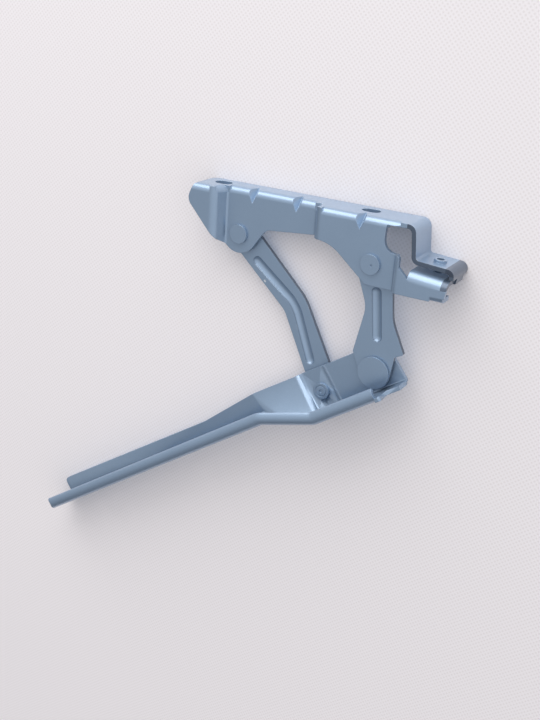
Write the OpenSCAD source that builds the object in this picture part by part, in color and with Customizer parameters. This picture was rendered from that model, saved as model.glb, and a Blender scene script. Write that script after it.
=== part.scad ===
// Car bonnet hinge, left hand: a four-bar hinge pressed from painted sheet steel.
// +X is forward, +Y is outboard, +Z is up; the body flange sits on Z = 0.
// The origin is midway between the two body slots. The arm is drawn part open.

/* [Sheet] */
// sheet thickness of the bracket, the arm and the links
sheet_t = 3; // [2.8:0.1:3.1]
// gap between two sheets at a pivot
sheet_gap = 0.8; // [0.7:0.1:1]
// running clearance between a rivet and its bush, on the radius
run_clear = 0.05; // [0.03:0.01:0.08]

/* [Body bracket] */
// distance between the two body slots
slot_spacing = 116; // [112:1:118]
// slot width, for an M8 bolt
slot_width = 9; // [8.4:0.1:9.4]
// slot length from end to end
slot_length = 13; // [11:0.5:15]
// distance from the outer face of the web to the row of slots
slot_setback = 17; // [16.5:0.5:18]
// width of the body flange
flange_width = 27.5; // [27:0.5:30]
// outer bend radius of the body flange
body_bend = 5; // [4.8:0.1:5.2]
// forward end of the bracket
bracket_nose = 77; // [75:1:80]
// thread core diameter of the collar on the rear tab, for M6
collar_bore = 5; // [4.8:0.1:5.4]

/* [Hood arm] */
// length of the arm forward of its rear pivot
arm_length = 331; // [300:1:350]
// width of the hood flange
hood_flange = 27; // [25:0.5:29]
// outer bend radius of the hood flange
arm_bend = 7; // [6.6:0.1:7.4]
// distance between the two hood bolt holes
hood_hole_spacing = 120; // [100:1:130]
// hood bolt hole diameter, for M8
hood_hole = 9; // [8.4:0.1:9.6]

/* [Rivets] */
// shank diameter of the rivets at the links
shank_d = 8; // [7.6:0.1:8.2]
// head diameter of the two body rivets
head_d = 14; // [13:0.2:15]
// head diameter of the small arm rivet
arm_head_d = 12.4; // [12:0.1:13]
// head diameter of the large arm rivet
big_head_d = 23; // [22.6:0.1:23.4]
// head height
head_h = 1.8; // [1.4:0.1:2]

/* [Hidden] */
$fn = 96;

// pivots in the X-Z plane, as they stand in the photograph
pivot_a = [39.5, 33];
pivot_b = [-68.5, 31];
pivot_c = [-36.5, 134.5];
pivot_d = [-77.5, 107];
arm_slope = 35;
front_slope = atan2(pivot_c[1] - pivot_a[1], pivot_c[0] - pivot_a[0]);
front_span = norm(pivot_c - pivot_a);
rear_slope = atan2(pivot_d[1] - pivot_b[1], pivot_d[0] - pivot_b[0]);
rear_span = norm(pivot_d - pivot_b);

// levels along Y, from the inboard side
web_y = -slot_setback;
rear_link_y = web_y + sheet_t + sheet_gap;
arm_y = rear_link_y + sheet_t + sheet_gap;
pocket = 3;
deep_y = arm_y + pocket;
front_link_y = deep_y + sheet_t + sheet_gap;
bracket_step = deep_y - web_y;
far_y = web_y + flange_width;
play = 0.3;
washer_t = 1;
tail_h = 1.8;

// bends of the bracket seen from above
wide_turn = body_bend + 1;
tight_turn = 2;
step_angle = 65;
step_run = (bracket_step - (wide_turn + tight_turn) * (1 - cos(step_angle))) / sin(step_angle);
step_x = (wide_turn + tight_turn) * sin(step_angle) + step_run * cos(step_angle);
rear_step = -29.5;
front_step = 49;
web_start = -86;

// clearance of the open pivot between the arm and the rear link
open_clear = 3.1;
big_shank = 4.5;

// level along the arm: hood flange faces, measured from the rear pivot
low_flange = 3;
high_flange = 17;
rear_bend = sheet_t + 1.5;
jog_rear = 50;
jog_front = 96;
flange_near = arm_y + sheet_t - hood_flange;
trim_near = flange_near + 13;

// outline drawn like a belt round discs: a negative radius is a hollow corner, zero is a sharp one
// the straight runs are tucked in by a hair, so that each one crosses its disc cleanly
tuck = 0.004;
function side(v) = [cos(v), sin(v)];
function middle(d) = [d[0], d[1]];
function wrap(v) = v - 360 * floor(v / 360);
function turn(d, a, b) = d[2] >= 0 ? wrap(b - a) : wrap(b - a) - 360;
function tucked(d) = [d[0], d[1], d[2] - sign(d[2]) * tuck];
function lean(p, q) =
  atan2(q[1] - p[1], q[0] - p[0]) + 90 - asin((q[2] - p[2]) / norm(middle(q) - middle(p)));

module belt(discs) {
  n = len(discs);
  d = [for (k = discs) tucked(k)];
  a = [for (i = [0:n - 1]) lean(d[(i + n - 1) % n], d[i])];
  b = [for (i = [0:n - 1]) lean(d[i], d[(i + 1) % n])];
  flat = [for (i = [0:n - 1]) for (s = [0:(d[i][2] == 0 ? 0 : 1)])
          middle(d[i]) - d[i][2] * side(s == 0 ? a[i] : b[i])];
  difference() {
    union() {
      polygon(flat);
      for (i = [0:n - 1]) if (discs[i][2] > 0) corner(discs[i], a[i], b[i]);
    }
    for (i = [0:n - 1]) if (discs[i][2] < 0) corner(discs[i], a[i], b[i]);
  }
}

// rounded corner of a belt outline
module corner(d, a, b) {
  v = turn(d, a, b);
  r = abs(d[2]);
  spread = abs(v) / 2 + 2 * acos(1 - tuck / r);
  translate(middle(d)) if (abs(v) > 150) circle(r = r);
  else rotate(a + v / 2 + (d[2] > 0 ? 180 : 0)) intersection() {
    circle(r = r);
    translate([r * cos(spread), -r - 1]) square([r + 1, 2 * r + 2]);
  }
}

// sheet standing in the X-Z plane
module plate(y, t) {
  translate([0, y + t, 0]) rotate([90, 0, 0]) linear_extrude(height = t) children();
}

// round piece along Y at a pivot
module pin(p, y0, y1, r) {
  translate([p[0], y0, p[1]]) rotate([-90, 0, 0]) cylinder(h = y1 - y0, r = r);
}

// section in the Y-Z plane drawn out along +X
module along(length) {
  rotate([90, 0, 90]) linear_extrude(height = length) children();
}

// what a bend of radius r takes off a sharp outer corner at the origin, or adds to an inner one
module bend_corner(r) {
  c = r - 0.02;
  difference() {
    translate([-1, -1]) square(c + 1);
    translate([c, c]) circle(r = r);
  }
}

// turns a shape drawn along +X from a pivot into its place
module at_pivot(p, v) {
  translate([p[0], 0, p[1]]) rotate([0, -v, 0]) children();
}

// bracket web seen from above
turn_1 = [rear_step, web_y + wide_turn];
turn_2 = [rear_step + step_x, deep_y - tight_turn];
turn_3 = [front_step, deep_y - tight_turn];
turn_4 = [front_step + step_x, web_y + wide_turn];
module web_plan() {
  in_1 = wide_turn - sheet_t;
  in_2 = tight_turn + sheet_t;
  belt([[web_start, web_y, 0], [turn_1[0], turn_1[1], wide_turn], [turn_2[0], turn_2[1], -tight_turn],
        [turn_3[0], turn_3[1], -tight_turn], [turn_4[0], turn_4[1], wide_turn], [bracket_nose + 2, web_y, 0],
        [bracket_nose + 2, web_y + sheet_t, 0], [turn_4[0], turn_4[1], -in_1], [turn_3[0], turn_3[1], in_2],
        [turn_2[0], turn_2[1], in_2], [turn_1[0], turn_1[1], -in_1], [web_start, web_y + sheet_t, 0]]);
}

// body flange seen from above
module flange_plan() {
  belt([[-79, web_y, 0], [turn_1[0], turn_1[1], wide_turn], [turn_2[0], turn_2[1], -tight_turn],
        [turn_3[0], turn_3[1], -tight_turn], [turn_4[0], turn_4[1], wide_turn], [bracket_nose - 5, web_y, 0],
        [bracket_nose - 11, far_y - 6, 6], [-91, far_y, 0], [-91, web_y + 1, 0], [-86, web_y + 1, 0]]);
}

// bracket web seen from the side
module bracket_outline() {
  belt([[web_start + 8, -1, 0], [bracket_nose - 4.6, -1, 0], [bracket_nose - 8, 10.5, 7.5],
        [pivot_a[0], pivot_a[1], 14], [pivot_a[0] - 26, pivot_a[1] + 1, -8], [-27, 50, -28],
        [pivot_b[0] + 0.5, 39.6, 6], [web_start - 1, 45.6, 0], [web_start - 1, 21, 0],
        [-84.5, 13, -8], [-84.5, 7, -8]]);
}

// outer bend of the body flange on its three straight runs and on the two slopes
module bracket_bends() {
  translate([web_start, web_y, 0]) along(rear_step - web_start) bend_corner(body_bend);
  translate([turn_2[0], deep_y, 0]) along(turn_3[0] - turn_2[0]) bend_corner(body_bend);
  translate([turn_4[0], web_y, 0]) along(12 + bracket_nose - turn_4[0]) bend_corner(body_bend);
  intersection() {
    translate([turn_1[0], turn_1[1], 0]) rotate([0, 0, step_angle]) translate([-2, -wide_turn, 0])
      along(step_run + 6) bend_corner(body_bend);
    translate([turn_1[0], web_y - 2, -2]) cube([step_x, bracket_step + 2, 9]);
  }
  intersection() {
    translate([turn_4[0], turn_4[1], 0]) rotate([0, 0, -step_angle]) translate([-step_run - 4, -wide_turn, 0])
      along(step_run + 6) bend_corner(body_bend);
    translate([turn_3[0], web_y - 2, -2]) cube([step_x, bracket_step + 2, 9]);
  }
}

// inner fillet of the body flange
module bracket_fillets() {
  r = body_bend - sheet_t;
  translate([-78, web_y + sheet_t, sheet_t]) along(rear_step + 79.2) bend_corner(r);
  translate([turn_2[0] - 2, deep_y + sheet_t, sheet_t]) along(turn_3[0] - turn_2[0] + 4) bend_corner(r);
  translate([turn_4[0] - 1.2, web_y + sheet_t, sheet_t]) along(bracket_nose - 5.8 - turn_4[0]) bend_corner(r);
}

module body_slot(x) {
  r = slot_width / 2;
  d = slot_length / 2 - r;
  translate([x - d, 0, -1]) cylinder(h = sheet_t + 2, r = r);
  translate([x + d, 0, -1]) cylinder(h = sheet_t + 2, r = r);
  translate([x - d, -r, -1]) cube([2 * d, 2 * r, sheet_t + 2]);
}

// V-shaped dart pressed into the bend; grow moves its faces inward
dart_in = 6.8;
module dart(x, y, grow) {
  translate([x, y, 0]) rotate([-45, 0, 0]) translate([0, 0, dart_in + grow]) rotate([90, 0, 0])
    translate([0, 0, -12]) linear_extrude(height = 24) polygon([[0, 0], [-8, -11], [8, -11]]);
}

module darts(grow) {
  dart(30, deep_y, grow);
  dart(-5, deep_y, grow);
  dart(-58, web_y, grow);
}

// inner corner where a dart stands proud
module dart_room(x, y) {
  translate([x - 9, y + sheet_t / 2, sheet_t / 2]) cube([18, 11, 11]);
}

// rear extension of the web, with its rolled edge and a short return at the end
ext_out = 5;
ext_y = web_y - ext_out;
ext_roll = 7;
ext_end = -122;
ext_top = 45.6;
ext_step = 70;
ext_run = (ext_out - (2.4 + sheet_t) * (1 - cos(ext_step))) / sin(ext_step);
ext_x = (2.4 + sheet_t) * sin(ext_step) + ext_run * cos(ext_step);
module extension_plan() {
  p = [-84.4 - ext_x, ext_y + 1.2 + sheet_t];
  q = [-84.4, web_y - 1.2];
  belt([[ext_end, ext_y, 0], [p[0], p[1], 1.2 + sheet_t], [q[0], q[1], -1.2], [-80, web_y, 0],
        [-80, web_y + sheet_t, 0], [q[0], q[1], 1.2 + sheet_t], [p[0], p[1], -1.2],
        [ext_end, ext_y + sheet_t, 0]]);
}

module extension_outline() {
  belt([[-79, 22, 0], [-79, ext_top, 0], [-113, ext_top, 0], [-113.5, ext_top - 6, 0],
        [ext_end - 1, ext_top - 6, 0], [ext_end - 1, 38.5, 0], [-99, 36.5, 0],
        [-92, 27, -2], [-88, 22.6, 2]]);
}

module bracket_extension() {
  intersection() {
    linear_extrude(height = 60) extension_plan();
    plate(ext_y - 1, 14) extension_outline();
  }
  // rolled edge
  translate([-97, ext_y, 29]) rotate([0, 5, 0]) mirror([1, 0, 0]) difference() {
    union() {
      cube([-ext_end - 95, 21, sheet_t]);
      cube([-ext_end - 95, sheet_t, 11]);
      translate([0, sheet_t, sheet_t]) along(-ext_end - 95) bend_corner(ext_roll - sheet_t);
    }
    translate([-1, 0, 0]) along(40) bend_corner(ext_roll);
  }
  // return at the end
  translate([ext_end, ext_y, ext_top]) mirror([0, 0, 1]) difference() {
    union() {
      cube([9.6, 12, sheet_t]);
      cube([9.6, sheet_t, 9]);
    }
    translate([-1, 0, 0]) along(16) bend_corner(4);
  }
}

// strip, tab and end lip behind the cut-out, seen from the side
module strip_outline() {
  t = sheet_t;
  belt([[-86, 0, 0], [-86, t, 0], [-91.2, 6, t - 6], [-101, 20.4, t + 2.2], [-120.6, 26 + t, -2],
        [t - 124.6, 35.2, 0], [-124.6, 35, 0], [-120.6, 26 + t, t + 2], [-101, 20.4, -2.2], [-91.2, 6, 6]]);
}

// the end lip is narrower than the tab
module rear_strip() {
  difference() {
    plate(web_y + 1, flange_width - 1) strip_outline();
    translate([-130, web_y - 1, 31]) cube([12, 10, 10]);
    translate([-130, far_y - 6, 31]) cube([12, 10, 10]);
  }
}

// extruded collar with the thread core on the rear tab
tab_tilt = 4;
tab_seat = [-111.5, web_y + 12, 25];
module tab_collar(r, h0, h1) {
  translate(tab_seat) rotate([0, tab_tilt, 0]) translate([0, 0, h0]) cylinder(h = h1 - h0, r = r);
}

module body_bracket() {
  color("steelblue") difference() {
    union() {
      difference() {
        union() {
          intersection() {
            linear_extrude(height = 60) web_plan();
            plate(web_y - 1, bracket_step + 20) bracket_outline();
          }
          linear_extrude(height = sheet_t) flange_plan();
          bracket_fillets();
        }
        bracket_bends();
        darts(0);
      }
      intersection() {
        difference() {
          darts(sheet_t);
          darts(0);
        }
        union() {
          dart_room(30, deep_y);
          dart_room(-5, deep_y);
          dart_room(-58, web_y);
        }
      }
      rear_strip();
      bracket_extension();
      tab_collar(4.3, -3.6, 0.5);
    }
    tab_collar(collar_bore / 2, -5, 8);
    body_slot(-slot_spacing / 2);
    body_slot(slot_spacing / 2);
    pin(pivot_a, deep_y - 1, deep_y + sheet_t + 1, shank_d / 2);
    pin(pivot_b, web_y - 1, web_y + sheet_t + 1, shank_d / 2);
  }
}

// hood arm, drawn from its rear pivot along its length
arm_reach = norm(pivot_c - pivot_d);
arm_turn = atan2(pivot_c[1] - pivot_d[1], pivot_c[0] - pivot_d[0]) - arm_slope;
arm_c = arm_reach * side(arm_turn);
arm_tail = 17;
arm_back = arm_y + sheet_t;
pocket_rear = arm_c[0] - 9;
pocket_front = arm_c[0] + 9;
pocket_r = 1.5;
pocket_lean = 50;
pocket_run = (pocket - (2 * pocket_r + sheet_t) * (1 - cos(pocket_lean))) / sin(pocket_lean);
pocket_x = (2 * pocket_r + sheet_t) * sin(pocket_lean) + pocket_run * cos(pocket_lean);

module arm_plan() {
  r = pocket_r;
  w = pocket_r + sheet_t;
  p1 = [pocket_rear - pocket_x, arm_y + w];
  p2 = [pocket_rear, deep_y - r];
  p3 = [pocket_front, deep_y - r];
  p4 = [pocket_front + pocket_x, arm_y + w];
  belt([[-arm_tail - 2, arm_y, 0], [p1[0], p1[1], w], [p2[0], p2[1], -r], [p3[0], p3[1], -r],
        [p4[0], p4[1], w], [arm_length + 2, arm_y, 0], [arm_length + 2, arm_back, 0],
        [p4[0], p4[1], -r], [p3[0], p3[1], w],
        [p2[0], p2[1], w], [p1[0], p1[1], -r], [-arm_tail - 2, arm_back, 0]]);
}

// side view of the arm: web down to its lower edge
module arm_outline() {
  belt([[0, 0, arm_tail], [105, 6.5, 25], [160, -38.6, -25], [arm_length - 4, -11, 4],
        [arm_length, low_flange - 1, 0], [jog_front, low_flange - 1, 0], [jog_rear, high_flange - 2, 0],
        [-arm_tail - 1, high_flange - 2, 0]]);
}

// side view of the hood flange
module hood_flange_outline(x0, x1) {
  t = sheet_t;
  rear = [jog_rear, high_flange - t - 12];
  front = [jog_front, low_flange - t + 14];
  belt([[x0, high_flange, 0], [x0, high_flange - t, 0], [rear[0], rear[1], -12], [front[0], front[1], 14],
        [x1, low_flange - t, 0], [x1, low_flange, 0], [front[0], front[1], t - 14],
        [rear[0], rear[1], 12 + t]]);
}

// corner section drawn out along the arm from x0 to x1
module arm_corner(x0, y, z, x1) {
  translate([x0, y, z]) rotate([180, 0, 0]) along(x1 - x0) children();
}

// hood flange seen from above; it follows the web into the pocket
module flange_top(tip) {
  back = arm_back - 0.3;
  belt([[-arm_tail, trim_near, 0], [-6, trim_near, 0], [-5, flange_near + 2, 2],
        [tip - 9, flange_near + 9, 9], [tip - 9, back - 9, 9], [-arm_tail, back, 0]]);
  polygon([[pocket_rear - pocket_x, arm_back - 1.5], [pocket_front + pocket_x, arm_back - 1.5],
           [pocket_front, deep_y + sheet_t - 0.5], [pocket_rear, deep_y + sheet_t - 0.5]]);
}

module hood_arm() {
  bend_end = pocket_rear - pocket_x;
  tip = arm_length + 8;
  hole_x = arm_length - 150;
  color("steelblue") at_pivot(pivot_d, arm_slope) difference() {
    union() {
      intersection() {
        translate([0, 0, -60]) linear_extrude(height = 100) arm_plan();
        plate(arm_y - 5, 25) arm_outline();
      }
      intersection() {
        plate(flange_near - 1, hood_flange + 12) hood_flange_outline(-arm_tail, tip);
        translate([0, 0, -40]) linear_extrude(height = 80) flange_top(tip);
      }
      arm_corner(jog_front + 6, arm_y, low_flange - sheet_t, arm_length - 2) bend_corner(arm_bend - sheet_t);
      arm_corner(-arm_tail, arm_y, high_flange - sheet_t, bend_end) bend_corner(rear_bend - sheet_t);
    }
    arm_corner(jog_front + 4, arm_back, low_flange, tip + 10) bend_corner(arm_bend);
    arm_corner(-arm_tail - 2, arm_back, high_flange, bend_end - 2) bend_corner(rear_bend);
    pin(arm_c, deep_y - 1, deep_y + sheet_t + 1, shank_d / 2);
    pin([0, 0], arm_y - 1, arm_back + 1, big_shank);
    for (x = [hole_x, hole_x + hood_hole_spacing])
      translate([x, flange_near + 12, -5]) cylinder(h = 12, r = hood_hole / 2);
  }
}

// front link, drawn from its body pivot towards the arm
bead_r = 4.1;
bead_lift = 1.9;
bead_grow = 2.3;
rear_grow = 1.2;
link_rise = 11;
module bead_path(y, r) {
  translate([front_span / 2, y - bead_lift, link_rise - 30]) rotate([90, 0, 0]) rotate([0, 0, 74])
    rotate_extrude(angle = 32) translate([30, 0]) circle(r = r);
  for (m = [0:1])
    translate([front_span / 2, 0, 0]) mirror([m, 0, 0]) translate([0, y - bead_lift, link_rise - 30])
    rotate([0, 16, 0]) translate([0, 0, 30]) rotate([0, 90, 0]) {
      cylinder(h = 33, r = r);
      translate([0, 0, 33]) sphere(r = r);
    }
}

module front_link_outline() {
  belt([[0, 0, 11], [front_span / 2, link_rise - 30, -20], [front_span, 0, 11],
        [front_span / 2, link_rise - 30, 40]]);
}

bush_wall = 1;
module front_link() {
  color("steelblue") at_pivot(pivot_a, front_slope) difference() {
    union() {
      plate(front_link_y, sheet_t) front_link_outline();
      intersection() {
        bead_path(front_link_y, bead_r + bead_grow);
        translate([0, front_link_y + 1, -20]) cube([front_span, 10, 60]);
      }
    }
    bead_path(front_link_y, bead_r);
    pin([0, 0], front_link_y - 1, front_link_y + sheet_t + 1, shank_d / 2 + run_clear + bush_wall);
    pin([front_span, 0], front_link_y - 1, front_link_y + sheet_t + 1, shank_d / 2 + run_clear + bush_wall);
  }
}

// rear link, drawn from its body pivot towards the arm
module rear_bead(r) {
  translate([20, rear_link_y - bead_lift, 2.5]) sphere(r = r);
  translate([20, rear_link_y - bead_lift, 2.5]) rotate([0, 90, 0]) cylinder(h = 31, r = r);
  translate([51, rear_link_y - bead_lift, 2.5]) sphere(r = r);
}

module rear_link_outline() {
  belt([[0, 0, 12.5], [30, -26, -20], [rear_span - 13.5, -14.6, 1], [rear_span, 0, 11.8],
        [rear_span - 11.5, 16.5, -1.5], [rear_span - 15.6, 20.5, 1], [34, 44, -30], [15, -0.6, 14.6]]);
}

module rear_link() {
  color("steelblue") at_pivot(pivot_b, rear_slope) difference() {
    union() {
      plate(rear_link_y, sheet_t) rear_link_outline();
      intersection() {
        rear_bead(bead_r + rear_grow);
        translate([0, rear_link_y + 1, -20]) cube([80, 10, 60]);
      }
    }
    rear_bead(bead_r);
    pin([0, 0], rear_link_y - 1, rear_link_y + sheet_t + 1, shank_d / 2 + run_clear + bush_wall);
    pin([rear_span, 0], rear_link_y - 1, rear_link_y + sheet_t + 1, big_shank + open_clear);
  }
}

// rivet: low head on the inboard side, shank, formed tail on the outboard side
module rivet(p, y0, y1, r, head, tail) {
  pin(p, y0 - head_h, y0, head);
  pin(p, y0 - 0.5, y1 + 0.5, r);
  pin(p, y1, y1 + tail_h, tail);
}

// flanged bush of a link, lying between two sheets
module bush(p, y) {
  difference() {
    union() {
      pin(p, y, y + sheet_t, shank_d / 2 + run_clear + bush_wall);
      pin(p, y - sheet_gap + play, y, shank_d / 2 + run_clear + bush_wall + 3.5);
    }
    pin(p, y - 5, y + 5, shank_d / 2 + run_clear);
  }
}

module washer(p, y, t, r0, r1) {
  difference() {
    pin(p, y, y + t, r1);
    pin(p, y - 1, y + t + 1, r0);
  }
}

module front_body_rivet() {
  tail = front_link_y + sheet_t + play + washer_t;
  color("steelblue") rivet(pivot_a, deep_y, tail, shank_d / 2, head_d / 2, 6.5);
}

module rear_body_rivet() {
  color("steelblue") difference() {
    rivet(pivot_b, web_y, rear_link_y + sheet_t + play + washer_t, shank_d / 2, head_d / 2, 6.5);
    pin(pivot_b - [1.2, -0.4], web_y - head_h - 1, web_y - head_h + 0.6, 0.8);
  }
}

module front_arm_rivet() {
  color("steelblue") difference() {
    rivet(pivot_c, deep_y, front_link_y + sheet_t + play + washer_t, shank_d / 2, arm_head_d / 2, 6.2);
    pin(pivot_c, deep_y - head_h - 1, deep_y - head_h + 0.7, 1.2);
    difference() {
      pin(pivot_c, deep_y - head_h - 1, deep_y - head_h + 0.35, 4.4);
      pin(pivot_c, deep_y - head_h - 2, deep_y - head_h + 1, 3.6);
    }
  }
}

module rear_arm_rivet() {
  color("steelblue") rivet(pivot_d, rear_link_y - play, arm_back, big_shank, big_head_d / 2, 7);
}

module front_body_bush() {
  color("goldenrod") bush(pivot_a, front_link_y);
}

module rear_body_bush() {
  color("goldenrod") bush(pivot_b, rear_link_y);
}

module front_arm_bush() {
  color("goldenrod") bush(pivot_c, front_link_y);
}

module front_body_washer() {
  color("silver") washer(pivot_a, front_link_y + sheet_t + play, washer_t, shank_d / 2, 8);
}

module rear_body_washer() {
  color("silver") washer(pivot_b, rear_link_y + sheet_t + play, washer_t, shank_d / 2, 8);
}

module front_arm_washer() {
  color("silver") washer(pivot_c, front_link_y + sheet_t + play, washer_t, shank_d / 2, 8);
}

module rear_arm_spacer() {
  color("silver") washer(pivot_d, rear_link_y + sheet_t + play, sheet_gap - play, big_shank, 10.5);
}

body_bracket();
hood_arm();
front_link();
rear_link();
front_body_rivet();
rear_body_rivet();
front_arm_rivet();
rear_arm_rivet();
front_body_bush();
rear_body_bush();
front_arm_bush();
front_body_washer();
rear_body_washer();
front_arm_washer();
rear_arm_spacer();
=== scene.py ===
"""Looks of a car bonnet hinge: pressed and riveted steel, painted blue-grey, lying on pale cloth."""

import math

import bmesh
import bpy
from mathutils import Matrix, Vector


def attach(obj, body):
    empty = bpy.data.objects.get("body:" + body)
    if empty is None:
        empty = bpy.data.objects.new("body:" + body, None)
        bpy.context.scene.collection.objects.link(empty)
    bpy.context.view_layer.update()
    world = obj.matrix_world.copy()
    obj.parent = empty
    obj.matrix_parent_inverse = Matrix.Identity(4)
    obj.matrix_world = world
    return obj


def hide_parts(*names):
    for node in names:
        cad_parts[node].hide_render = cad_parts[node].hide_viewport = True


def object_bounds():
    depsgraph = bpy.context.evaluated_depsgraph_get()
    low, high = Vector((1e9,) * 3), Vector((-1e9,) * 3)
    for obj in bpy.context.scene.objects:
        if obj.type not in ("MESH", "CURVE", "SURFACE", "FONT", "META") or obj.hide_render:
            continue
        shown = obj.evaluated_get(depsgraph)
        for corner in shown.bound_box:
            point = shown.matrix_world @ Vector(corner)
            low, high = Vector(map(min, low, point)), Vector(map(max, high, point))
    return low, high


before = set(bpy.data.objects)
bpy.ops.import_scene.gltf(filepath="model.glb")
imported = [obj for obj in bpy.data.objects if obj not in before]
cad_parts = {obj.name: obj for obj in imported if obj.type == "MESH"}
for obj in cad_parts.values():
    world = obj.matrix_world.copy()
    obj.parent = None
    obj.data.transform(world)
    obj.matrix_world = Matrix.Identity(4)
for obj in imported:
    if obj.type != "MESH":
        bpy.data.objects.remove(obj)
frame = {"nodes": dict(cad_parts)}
cad_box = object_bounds()
nodes = frame["nodes"]
MM = 0.001

# camera of the photograph, in the part's own frame
CAMERA_PLACE = Vector((-317.4, -601.8, -155.7)) * MM
CAMERA_AHEAD = Vector((0.4432, 0.8123, 0.3792))
CAMERA_UP = Vector((0.2399, 0.3001, -0.9233))
CAMERA_RIGHT = CAMERA_AHEAD.cross(CAMERA_UP)
SENSOR_HEIGHT = 24.0
FOCAL_PIXELS = 1000.0
PICTURE_HEIGHT = 720.0

# finishes, as linear colours
PAINT = (0.275, 0.375, 0.505, 1.0)
PAINT_DEEP = (0.210, 0.296, 0.410, 1.0)
# painted shade colour: sheared edges are darkened towards this navy
EDGE_SHADE_NAVY = (0.030, 0.045, 0.075, 1.0)
PRIMER = (0.62, 0.66, 0.70, 1.0)
BRONZE = (0.55, 0.36, 0.16, 1.0)
ZINC = (0.62, 0.63, 0.65, 1.0)
CLOTH = (0.80, 0.770, 0.785, 1.0)
CLOTH_THREAD = (0.66, 0.620, 0.62, 1.0)
ROOM_DIM = (0.17, 0.17, 0.18, 1.0)
ROOM_PALE = (1.0, 1.0, 1.02, 1.0)


# small helpers for shader nodes
def add(tree, kind, **values):
    """A shader node with its properties and unlinked inputs set."""
    n = tree.nodes.new(kind)
    for key, value in values.items():
        if key in n.inputs:
            n.inputs[key].default_value = value
        else:
            setattr(n, key, value)
    return n


def math_node(tree, operation, a, b=0.0, clamp=False):
    n = add(tree, "ShaderNodeMath", operation=operation, use_clamp=clamp)
    for i, value in enumerate((a, b)):
        if isinstance(value, (int, float)):
            n.inputs[i].default_value = value
        else:
            tree.links.new(value, n.inputs[i])
    return n.outputs[0]


def mix_colour(tree, factor, a, b):
    n = add(tree, "ShaderNodeMix", data_type="RGBA")
    for socket, value in ((n.inputs[0], factor), (n.inputs[6], a), (n.inputs[7], b)):
        if hasattr(value, "is_output"):
            tree.links.new(value, socket)
        else:
            socket.default_value = value
    return n.outputs[2]


def group(name, inputs, outputs):
    """An empty shader node group with its named sockets."""
    tree = bpy.data.node_groups.new(name, "ShaderNodeTree")
    for label, kind, default in inputs:
        socket = tree.interface.new_socket(label, in_out="INPUT", socket_type=kind)
        if default is not None:
            socket.default_value = default
    for label, kind in outputs:
        tree.interface.new_socket(label, in_out="OUTPUT", socket_type=kind)
    return tree, tree.nodes.new("NodeGroupInput").outputs, tree.nodes.new("NodeGroupOutput").inputs


def place_group(tree, made, **values):
    n = tree.nodes.new("ShaderNodeGroup")
    n.node_tree = made
    for key, value in values.items():
        n.inputs[key.replace("_", " ")].default_value = value
    return n


def new_material(name, **values):
    material = bpy.data.materials.new(name)
    material.use_nodes = True
    shader = material.node_tree.nodes["Principled BSDF"]
    for key, value in values.items():
        shader.inputs[key.replace("_", " ")].default_value = value
    return material, material.node_tree, shader


# effects that several finishes share
def make_flake_paint():
    """Metallic paint: a slow drift of tone, fine flakes and a faint orange peel."""
    tree, given, out = group(
        "flake paint",
        [("Colour", "NodeSocketColor", PAINT), ("Deep", "NodeSocketColor", PAINT_DEEP),
         ("Flake Scale", "NodeSocketFloat", 3200.0), ("Peel Scale", "NodeSocketFloat", 420.0)],
        [("Colour", "NodeSocketColor"), ("Roughness", "NodeSocketFloat"), ("Height", "NodeSocketFloat")])
    where = add(tree, "ShaderNodeTexCoord").outputs["Object"]
    drift = add(tree, "ShaderNodeTexNoise", Scale=38.0, Detail=3.0)
    flake = add(tree, "ShaderNodeTexVoronoi", feature="F1")
    peel = add(tree, "ShaderNodeTexNoise", Detail=1.0)
    for n in (drift, flake, peel):
        tree.links.new(where, n.inputs["Vector"])
    tree.links.new(given["Flake Scale"], flake.inputs["Scale"])
    tree.links.new(given["Peel Scale"], peel.inputs["Scale"])
    sparkle = math_node(tree, "MULTIPLY", flake.outputs["Color"], 0.34)
    tone = math_node(tree, "ADD", math_node(tree, "MULTIPLY", drift.outputs["Fac"], 0.5), sparkle, clamp=True)
    tree.links.new(mix_colour(tree, tone, given["Colour"], given["Deep"]), out["Colour"])
    tree.links.new(math_node(tree, "ADD", math_node(tree, "MULTIPLY", drift.outputs["Fac"], 0.10), 0.30),
                   out["Roughness"])
    tree.links.new(peel.outputs["Fac"], out["Height"])
    return tree


def make_edge_wear_and_highlight():
    """Broken pale lines along the edges, where the film is thin: real wear, and a painted highlight along the
    edges.
    """
    tree, given, out = group(
        "edge wear and highlight",
        [("Radius", "NodeSocketFloat", 0.0007), ("Amount", "NodeSocketFloat", 0.5)],
        [("Mask", "NodeSocketFloat")])
    where = add(tree, "ShaderNodeTexCoord").outputs["Object"]
    round_normal = add(tree, "ShaderNodeBevel", samples=6)
    tree.links.new(given["Radius"], round_normal.inputs["Radius"])
    plain = add(tree, "ShaderNodeNewGeometry").outputs["Normal"]
    facing = add(tree, "ShaderNodeVectorMath", operation="DOT_PRODUCT")
    tree.links.new(round_normal.outputs[0], facing.inputs[0])
    tree.links.new(plain, facing.inputs[1])
    bend = math_node(tree, "SUBTRACT", 1.0, facing.outputs["Value"])
    patchy = add(tree, "ShaderNodeTexNoise", Scale=160.0, Detail=4.0)
    tree.links.new(where, patchy.inputs["Vector"])
    broken = add(tree, "ShaderNodeMapRange")
    broken.inputs["From Min"].default_value = 0.52
    broken.inputs["From Max"].default_value = 0.70
    tree.links.new(patchy.outputs["Fac"], broken.inputs["Value"])
    line = math_node(tree, "MULTIPLY", bend, 5.0, clamp=True)
    worn_and_lit = math_node(tree, "MULTIPLY", line, broken.outputs[0])
    tree.links.new(math_node(tree, "MULTIPLY", worn_and_lit, given["Amount"], clamp=True), out["Mask"])
    return tree


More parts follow.
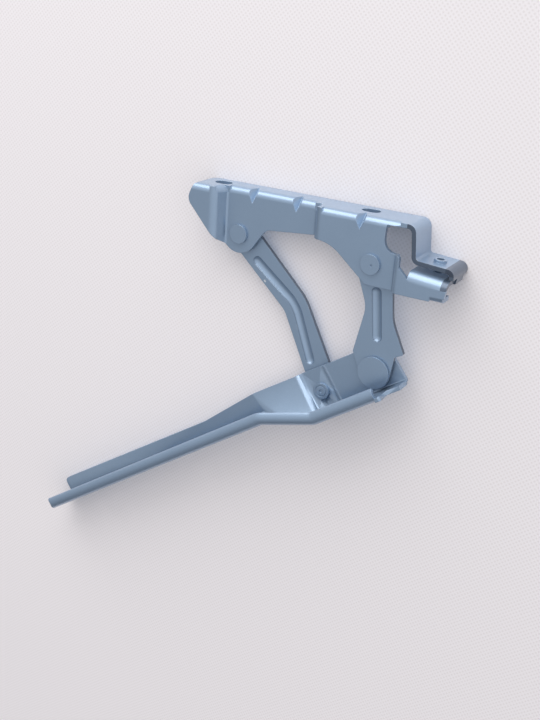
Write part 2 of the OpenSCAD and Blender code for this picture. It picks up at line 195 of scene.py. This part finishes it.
def make_chip():
    """One small chip in the paint, with a ragged rim."""
    tree, given, out = group(
        "paint chip",
        [("Place", "NodeSocketVector", None), ("Size", "NodeSocketFloat", 0.001)],
        [("Mask", "NodeSocketFloat")])
    where = add(tree, "ShaderNodeTexCoord").outputs["Object"]
    ragged = add(tree, "ShaderNodeTexNoise", Scale=900.0, Detail=3.0)
    tree.links.new(where, ragged.inputs["Vector"])
    apart = add(tree, "ShaderNodeVectorMath", operation="DISTANCE")
    tree.links.new(where, apart.inputs[0])
    tree.links.new(given["Place"], apart.inputs[1])
    reach = math_node(tree, "DIVIDE", apart.outputs["Value"], given["Size"])
    rim = math_node(tree, "ADD", reach, math_node(tree, "MULTIPLY", ragged.outputs["Fac"], 1.2))
    edge = add(tree, "ShaderNodeMapRange")
    edge.inputs["From Min"].default_value = 1.55
    edge.inputs["From Max"].default_value = 1.35
    tree.links.new(rim, edge.inputs["Value"])
    tree.links.new(edge.outputs[0], out["Mask"])
    return tree


def make_painted_edge_shade():
    """Painted shade on sheared edges: how far they face an axis, within three limits."""
    tree, given, out = group(
        "painted edge shade",
        [("Facing", "NodeSocketVector", None),
         ("Least", "NodeSocketFloat", 0.35), ("Most", "NodeSocketFloat", 0.75),
         ("Front", "NodeSocketFloat", 10.0),
         ("Outer", "NodeSocketFloat", 10.0),
         ("Top", "NodeSocketFloat", 10.0)],
        [("Mask", "NodeSocketFloat")])
    coords = add(tree, "ShaderNodeTexCoord")
    along = add(tree, "ShaderNodeVectorMath", operation="DOT_PRODUCT")
    tree.links.new(coords.outputs["Normal"], along.inputs[0])
    tree.links.new(given["Facing"], along.inputs[1])
    share = add(tree, "ShaderNodeMapRange")
    tree.links.new(math_node(tree, "ABSOLUTE", along.outputs["Value"]), share.inputs["Value"])
    tree.links.new(given["Least"], share.inputs["From Min"])
    tree.links.new(given["Most"], share.inputs["From Max"])
    axes = add(tree, "ShaderNodeSeparateXYZ")
    tree.links.new(coords.outputs["Object"], axes.inputs[0])
    inside = math_node(tree, "LESS_THAN", axes.outputs["X"], given["Front"])
    for axis, end in (("Y", "Outer"), ("Z", "Top")):
        within = math_node(tree, "LESS_THAN", axes.outputs[axis], given[end])
        inside = math_node(tree, "MULTIPLY", inside, within)
    tree.links.new(math_node(tree, "MULTIPLY", share.outputs[0], inside), out["Mask"])
    return tree


FLAKE_PAINT = make_flake_paint()
PAINTED_EDGE_SHADE = make_painted_edge_shade()
EDGE_WEAR_AND_HIGHLIGHT = make_edge_wear_and_highlight()
CHIP = make_chip()
EDGE_ROUND = 0.45 * MM
# how far the painted edge shade darkens towards navy
EDGE_SHADE_SHARE = 0.8


def soften_edges(tree, shader, height, strength=0.05):
    """Rounds the sheet's cut edges in the shading, with the paint's own relief on top."""
    rounded = add(tree, "ShaderNodeBevel", samples=6)
    rounded.inputs["Radius"].default_value = EDGE_ROUND
    bump = add(tree, "ShaderNodeBump")
    bump.inputs["Strength"].default_value = strength
    bump.inputs["Distance"].default_value = 0.1 * MM
    tree.links.new(height, bump.inputs["Height"])
    tree.links.new(rounded.outputs[0], bump.inputs["Normal"])
    tree.links.new(bump.outputs[0], shader.inputs["Normal"])


def painted_steel(name, wear, chips=(), shaded_edges=()):
    """Blue-grey metallic paint with a thin clear coat; chips are (place, size) in metres."""
    material, tree, shader = new_material(name, Metallic=0.6, Coat_Weight=0.6, Coat_Roughness=0.12)
    paint = place_group(tree, FLAKE_PAINT)
    edges = place_group(tree, EDGE_WEAR_AND_HIGHLIGHT, Amount=wear)
    bare_and_edge_highlight = edges.outputs["Mask"]
    for spot, size in chips:
        chip = place_group(tree, CHIP, Place=spot, Size=size)
        bare_and_edge_highlight = math_node(tree, "MAXIMUM", bare_and_edge_highlight, chip.outputs["Mask"])
    paint_and_edge_shade = paint.outputs["Colour"]
    # painted shade: the given sheared edges are darkened towards navy
    for edge in shaded_edges:
        dark = place_group(tree, PAINTED_EDGE_SHADE, **edge)
        paint_and_edge_shade = mix_colour(tree, math_node(tree, "MULTIPLY", dark.outputs["Mask"], EDGE_SHADE_SHARE), paint_and_edge_shade, EDGE_SHADE_NAVY)
    # worn edges and chips turn to pale primer; along the edges this is also a painted highlight
    colour = mix_colour(tree, bare_and_edge_highlight, paint_and_edge_shade, PRIMER)
    tree.links.new(colour, shader.inputs["Base Color"])
    tree.links.new(math_node(tree, "ADD", paint.outputs["Roughness"], math_node(tree, "MULTIPLY", bare_and_edge_highlight, 0.2)),
                   shader.inputs["Roughness"])
    soften_edges(tree, shader, paint.outputs["Height"])
    return material


def plain_metal(name, colour, roughness, grain):
    """Unpainted metal with fine turning marks."""
    material, tree, shader = new_material(name, Metallic=1.0)
    where = add(tree, "ShaderNodeTexCoord").outputs["Object"]
    marks = add(tree, "ShaderNodeTexNoise", Scale=grain, Detail=4.0)
    tree.links.new(where, marks.inputs["Vector"])
    dark = tuple(0.72 * c for c in colour[:3]) + (1.0,)
    tree.links.new(mix_colour(tree, marks.outputs["Fac"], colour, dark), shader.inputs["Base Color"])
    tree.links.new(math_node(tree, "ADD", math_node(tree, "MULTIPLY", marks.outputs["Fac"], 0.2), roughness),
                   shader.inputs["Roughness"])
    soften_edges(tree, shader, marks.outputs["Fac"], 0.1)
    return material


def dress(names, material):
    for name in names:
        mesh = nodes[name].data
        mesh.materials.clear()
        mesh.materials.append(material)


LINK_CHIPS = [((0.0017, -0.0026, 0.0516), 0.0012), ((0.0180, -0.0026, 0.0647), 0.0010),
              ((-0.0331, -0.0026, 0.1006), 0.0008)]

# the hood arm's lip, curled back along the inboard edge of its flange
ARM_PIVOT = Vector((-77.5, 0.0, 107.0))
ARM_SLOPE = math.radians(35.0)
FLANGE_NEAR = -33.4
FLANGE_HIGH, FLANGE_LOW = 17.0, 3.0
JOG_REAR, JOG_FRONT = 50.0, 96.0
JOG_OUTER, JOG_INNER = 15.0, 11.0
JOG_GAP = 1.0
SHEET = 3.0
LIP_START, LIP_END = -2.6, 337.6
LIP_BEND = 5.3
LIP_SHEET = 2.7
LIP_TURN = math.radians(152.0)
LIP_STEPS = 18
LIP_CORNER = 3.0
LIP_STUB = 7.0
LIP_TUCK = 0.03
RIM_ROUND = 0.2
CUT_PAST, CUT_UNDER, CUT_END = 2.0, 1.0, 350.0
END_RUN, END_STEPS, END_GAP = 4.0, 12, 5.0
BEND_STEPS = 8
SMOOTH_UP_TO = math.radians(28.0)


def flange_run(start, end, step=6.0):
    """Stations along the flange's outer face: place along and across the arm, and the outward lean."""
    rear, front = Vector((JOG_REAR, FLANGE_HIGH - JOG_OUTER)), Vector((JOG_FRONT, FLANGE_LOW + JOG_INNER))
    apart = front - rear
    lean = math.asin((JOG_OUTER + JOG_INNER) / apart.length) - math.atan2(apart.y, apart.x)
    run = []

    def straight(x0, x1, z):
        count = max(2, round((x1 - x0) / step))
        run.extend((x0 + (x1 - x0) * i / count, z, 0.0) for i in range(count + 1))

    def arc(centre, radius, a, b):
        for i in range(BEND_STEPS + 1):
            v = a + (b - a) * i / BEND_STEPS
            run.append((centre.x + radius * math.sin(v), centre.y + radius * math.cos(v), v))

    for i in range(END_STEPS + 1):
        run.append((start + END_RUN * (i / END_STEPS) ** 2, FLANGE_HIGH, 0.0))
    straight(start + END_GAP, JOG_REAR - JOG_GAP, FLANGE_HIGH)
    arc(rear, JOG_OUTER, 0.0, lean)
    arc(front, -JOG_INNER, lean, 0.0)
    straight(JOG_FRONT + JOG_GAP, end - END_GAP, FLANGE_LOW)
    for i in range(END_STEPS + 1):
        run.append((end - END_RUN * (1.0 - i / END_STEPS) ** 2, FLANGE_LOW, 0.0))
    return run


def swept(name, run, section):
    """A closed mesh: section(x) gives the outline at a station as (inwards from the edge, under the face)."""
    cos, sin = math.cos(ARM_SLOPE), math.sin(ARM_SLOPE)
    points, faces = [], []
    for x, z, lean in run:
        outline = section(x)
        size = len(outline)
        for across, under in outline:
            along, up = x - under * math.sin(lean), z - under * math.cos(lean)
            place = Vector((along * cos - up * sin, FLANGE_NEAR + across, along * sin + up * cos))
            points.append((ARM_PIVOT + place) * MM)
    for i in range(len(run) - 1):
        for k in range(size):
            a, b = i * size + k, i * size + (k + 1) % size
            faces.append((a, b, b + size, a + size))
    faces.append(tuple(range(size - 1, -1, -1)))
    faces.append(tuple(range(len(points) - size, len(points))))
    mesh = bpy.data.meshes.new(name)
    mesh.from_pydata(points, [], faces)
    tidy = bmesh.new()
    tidy.from_mesh(mesh)
    bmesh.ops.recalc_face_normals(tidy, faces=tidy.faces)
    tidy.to_mesh(mesh)
    tidy.free()
    made = bpy.data.objects.new(name, mesh)
    bpy.context.scene.collection.objects.link(made)
    return made


def lip_section(x):
    """Flange stub and the curled lip, which ends in a rounded corner at the arm's tip."""
    beyond = max(0.0, x - LIP_END + LIP_CORNER)
    shy = LIP_CORNER - math.sqrt(max(0.0, LIP_CORNER * LIP_CORNER - beyond * beyond))

    def curl(radius, turn):
        return (LIP_BEND - radius * math.sin(turn), LIP_BEND - radius * math.cos(turn))

    turns = [LIP_TURN * i / LIP_STEPS for i in range(LIP_STEPS + 1)]
    outer = [curl(LIP_BEND, v) for v in turns]
    inner = [curl(LIP_BEND - LIP_SHEET, v) for v in reversed(turns)]
    rim = curl(LIP_BEND - LIP_SHEET / 2, LIP_TURN + RIM_ROUND)
    outline = [(LIP_STUB, LIP_TUCK)] + outer + [rim] + inner + [(LIP_STUB, SHEET - LIP_TUCK)]
    return [(max(across, shy), under) for across, under in outline]


def arm_with_lip():
    """The CAD arm with its flange's plain inboard edge taken off and the curled lip in its place."""
    plain = nodes["hood_arm"]
    low, deep = -CUT_PAST, SHEET + CUT_UNDER
    plain_edge = [(low, low), (LIP_BEND, low), (LIP_BEND, deep), (low, deep)]
    cutter = swept("edge cutter", flange_run(LIP_START, CUT_END), lambda x: plain_edge)
    arm = bpy.data.objects.new("arm_with_lip", plain.data.copy())
    bpy.context.scene.collection.objects.link(arm)
    cut = arm.modifiers.new("edge", "BOOLEAN")
    cut.operation = "DIFFERENCE"
    cut.solver = "EXACT"
    cut.object = cutter
    lip = swept("arm lip", flange_run(LIP_START, LIP_END), lip_section)
    trimmed = bpy.data.meshes.new_from_object(arm.evaluated_get(bpy.context.evaluated_depsgraph_get()))
    joined = bmesh.new()
    joined.from_mesh(trimmed)
    joined.from_mesh(lip.data)
    mesh = bpy.data.meshes.new("hood arm")
    joined.to_mesh(mesh)
    joined.free()
    arm.modifiers.remove(cut)
    arm.data = mesh
    mesh.shade_smooth()
    mesh.set_sharp_from_angle(angle=SMOOTH_UP_TO)
    for spare in (cutter, lip):
        bpy.data.objects.remove(spare)
    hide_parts("hood_arm")
    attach(arm, "arm")
    nodes["hood_arm"] = arm


# painted shade on sheared edges: all round the two flat links, the near edges of the bracket's rear strip,
# and the tab's lip
LINK_EDGE_SHADE = {"Facing": (0.0, 1.0, 0.0), "Least": 0.75, "Most": 0.35}
STRIP_EDGE_SHADE = {"Facing": (0.0, 1.0, 0.0), "Front": -0.0905, "Outer": -0.010, "Top": 0.0285}
TAB_LIP_SHADE = {"Facing": (0.0, 1.0, 0.0), "Least": -1.0, "Most": -0.5, "Front": -0.1195, "Top": 0.037}

arm_with_lip()
SHEETS = {"body_bracket": painted_steel("bracket paint", wear=0.30, shaded_edges=[STRIP_EDGE_SHADE, TAB_LIP_SHADE]),
          "hood_arm": painted_steel("arm paint", wear=0.30),
          "front_link": painted_steel("front link paint", wear=0.45, chips=LINK_CHIPS, shaded_edges=[LINK_EDGE_SHADE]),
          "rear_link": painted_steel("rear link paint", wear=0.40, shaded_edges=[LINK_EDGE_SHADE])}
for sheet, paint in SHEETS.items():
    dress([sheet], paint)
dress(["front_body_rivet", "rear_body_rivet", "front_arm_rivet", "rear_arm_rivet"],
      painted_steel("rivet paint", wear=0.5))
dress(["front_body_bush", "rear_body_bush", "front_arm_bush"],
      plain_metal("bush bronze", BRONZE, 0.30, 700.0))
dress(["front_body_washer", "rear_body_washer", "front_arm_washer", "rear_arm_spacer"],
      plain_metal("washer zinc", ZINC, 0.32, 500.0))


# stage: a pale cloth that the hinge lies on
CLOTH_AT = 10.9 * MM
CLOTH_FALL_FORWARD, CLOTH_FALL_UP = 0.0053, 0.0535
CLOTH_REACH = 2.2


def cloth_height(x, z):
    """Y of the cloth: it lies just under the body flange, the small arm rivet's tail and the arm's tip."""
    return CLOTH_AT - CLOTH_FALL_FORWARD * x - CLOTH_FALL_UP * z


def make_cloth():
    r = CLOTH_REACH
    corners = [(-r, -r), (-r, r), (r, r), (r, -r)]
    points = [(x, cloth_height(x, z), z) for x, z in corners]
    mesh = bpy.data.meshes.new("cloth")
    mesh.from_pydata(points, [], [(3, 2, 1, 0)])
    cloth = bpy.data.objects.new("cloth", mesh)
    bpy.context.scene.collection.objects.link(cloth)
    material, tree, shader = new_material("cloth weave", Roughness=0.9)
    shader.inputs["Specular IOR Level"].default_value = 0.1
    where = add(tree, "ShaderNodeTexCoord").outputs["Object"]
    threads = []
    for turn in (0.7, -0.87):
        turned = add(tree, "ShaderNodeMapping")
        turned.inputs["Rotation"].default_value = (0.0, turn, 0.0)
        tree.links.new(where, turned.inputs["Vector"])
        wave = add(tree, "ShaderNodeTexWave", Scale=130.0, Distortion=0.4)
        wave.inputs["Detail Scale"].default_value = 8.0
        tree.links.new(turned.outputs[0], wave.inputs["Vector"])
        threads.append(wave.outputs["Fac"])
    weave = math_node(tree, "MULTIPLY", threads[0], threads[1])
    tree.links.new(mix_colour(tree, math_node(tree, "MULTIPLY", weave, 0.6), CLOTH, CLOTH_THREAD),
                   shader.inputs["Base Color"])
    bump = add(tree, "ShaderNodeBump")
    bump.inputs["Strength"].default_value = 0.12
    bump.inputs["Distance"].default_value = 0.3 * MM
    tree.links.new(weave, bump.inputs["Height"])
    tree.links.new(bump.outputs[0], shader.inputs["Normal"])
    # seen from behind, the cloth lets the hinge show, with the light that comes from there
    behind = math_node(tree, "MAXIMUM", add(tree, "ShaderNodeNewGeometry").outputs["Backfacing"],
                       add(tree, "ShaderNodeLightPath").outputs["Is Shadow Ray"])
    through = add(tree, "ShaderNodeBsdfTransparent")
    both = add(tree, "ShaderNodeMixShader")
    tree.links.new(behind, both.inputs[0])
    tree.links.new(shader.outputs[0], both.inputs[1])
    tree.links.new(through.outputs[0], both.inputs[2])
    tree.links.new(both.outputs[0], tree.nodes["Material Output"].inputs["Surface"])
    mesh.materials.append(material)
    return cloth


make_cloth()

# light
LOW, HIGH = cad_box
MIDDLE = (Vector(LOW) + Vector(HIGH)) / 2


def picture_direction(right, up, towards):
    """A direction given in the photograph's own axes."""
    return (CAMERA_RIGHT * right + CAMERA_UP * up - CAMERA_AHEAD * towards).normalized()


def soft_lamp(name, direction, distance, size, power, colour):
    lamp = bpy.data.lights.new(name, "AREA")
    lamp.size = size
    lamp.energy = power
    lamp.color = colour
    holder = bpy.data.objects.new(name, lamp)
    holder.location = MIDDLE + direction * distance
    holder.rotation_euler = direction.to_track_quat("Z", "Y").to_euler()
    bpy.context.scene.collection.objects.link(holder)


soft_lamp("window", picture_direction(-0.15, 1.0, 0.45), 1.5, 1.9, 27.0, (1.0, 0.985, 0.97))
soft_lamp("lamp behind the cloth", picture_direction(0.3, 0.5, -1.0), 1.6, 1.6, 22.0, (1.0, 1.0, 1.0))


def make_room():
    """Pale room light, darker near the cloth's horizon at the lower left of the picture."""
    world = bpy.data.worlds.new("room")
    bpy.context.scene.world = world
    world.use_nodes = True
    tree = world.node_tree
    back = tree.nodes["Background"]
    facing = add(tree, "ShaderNodeVectorMath", operation="DOT_PRODUCT")
    tree.links.new(add(tree, "ShaderNodeTexCoord").outputs["Generated"], facing.inputs[0])
    facing.inputs[1].default_value = picture_direction(0.3, 0.55, 0.8)
    share = add(tree, "ShaderNodeMapRange")
    share.inputs["From Min"].default_value = -0.62
    share.inputs["From Max"].default_value = 0.45
    tree.links.new(facing.outputs["Value"], share.inputs["Value"])
    tree.links.new(mix_colour(tree, share.outputs[0], ROOM_DIM, ROOM_PALE), back.inputs["Color"])
    back.inputs["Strength"].default_value = 1.06


make_room()


# camera
def make_camera():
    lens = bpy.data.cameras.new("camera")
    lens.sensor_fit = "VERTICAL"
    lens.sensor_height = SENSOR_HEIGHT
    lens.lens = FOCAL_PIXELS / PICTURE_HEIGHT * SENSOR_HEIGHT
    lens.clip_start = 0.01
    camera = bpy.data.objects.new("camera", lens)
    axes = Matrix((CAMERA_RIGHT, CAMERA_UP, -CAMERA_AHEAD)).transposed().to_4x4()
    camera.matrix_world = Matrix.Translation(CAMERA_PLACE) @ axes
    bpy.context.scene.collection.objects.link(camera)
    bpy.context.scene.camera = camera


make_camera()
bpy.context.scene.view_settings.view_transform = "Standard"
